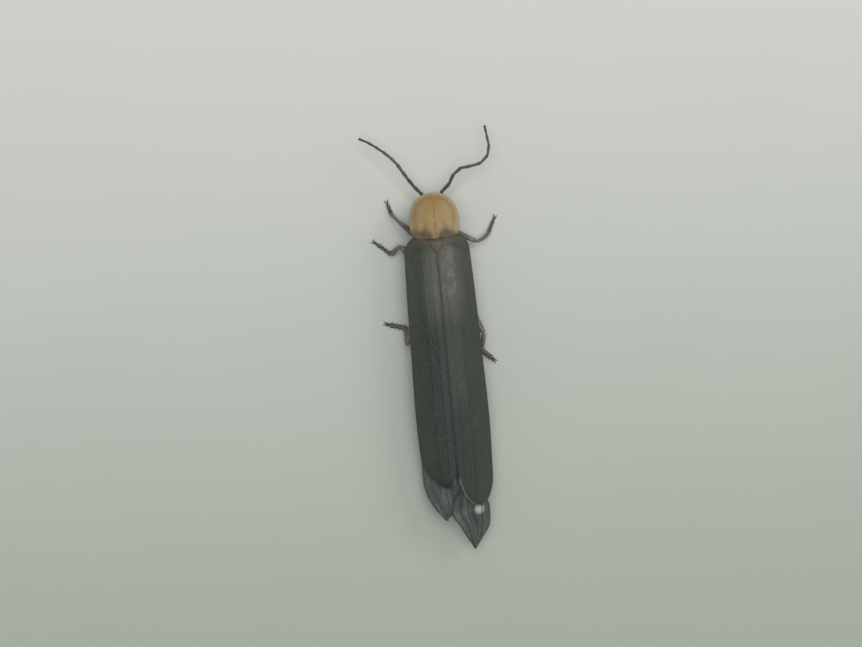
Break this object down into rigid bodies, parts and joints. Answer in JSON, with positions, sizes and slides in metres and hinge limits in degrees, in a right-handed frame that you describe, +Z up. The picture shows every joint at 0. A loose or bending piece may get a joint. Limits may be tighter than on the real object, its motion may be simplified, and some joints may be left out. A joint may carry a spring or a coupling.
{
  "type": "firefly",
  "caption": "Life-size still model of a male firefly standing with wing cases shut, orange head shield, long feelers and folded hind wings showing behind.",
  "frame": {"origin": "the middle of the model's outline, on the floor it stands on", "axes": "+Y runs from the tail to the head, +X to the insect's right, +Z up"},
  "size_m": [0.0054, 0.017, 0.0025],
  "materials": {
    "shield": "waxy orange horn, pale and slightly see-through at its rim",
    "head": "dark brown horn",
    "eyes": "black, finely faceted",
    "feelers": "dark, with short down",
    "wing_cases": "charcoal, grained, with short grey down",
    "hind_wings": "smoky membrane with dark veins",
    "underside": "dark brown plates",
    "light_organ": "pale ivory plates",
    "legs": "grey-brown horn with short down"
  },
  "bodies": {
    "root": {"pronotum": "shield", "head": "head", "eye_left": "eyes", "eye_right": "eyes", "antenna_left": "feelers", "antenna_right": "feelers", "thorax": "underside", "scutellum": "shield", "elytron_left": "wing_cases", "elytron_right": "wing_cases", "hindwing_left": "hind_wings", "hindwing_right": "hind_wings", "abdomen": "underside", "light_organ": "light_organ", "abdomen_tip": "underside", "foreleg_left": "legs", "foreleg_right": "legs", "midleg_left": "legs", "midleg_right": "legs", "hindleg_left": "legs", "hindleg_right": "legs"}
  },
  "joints": []
}
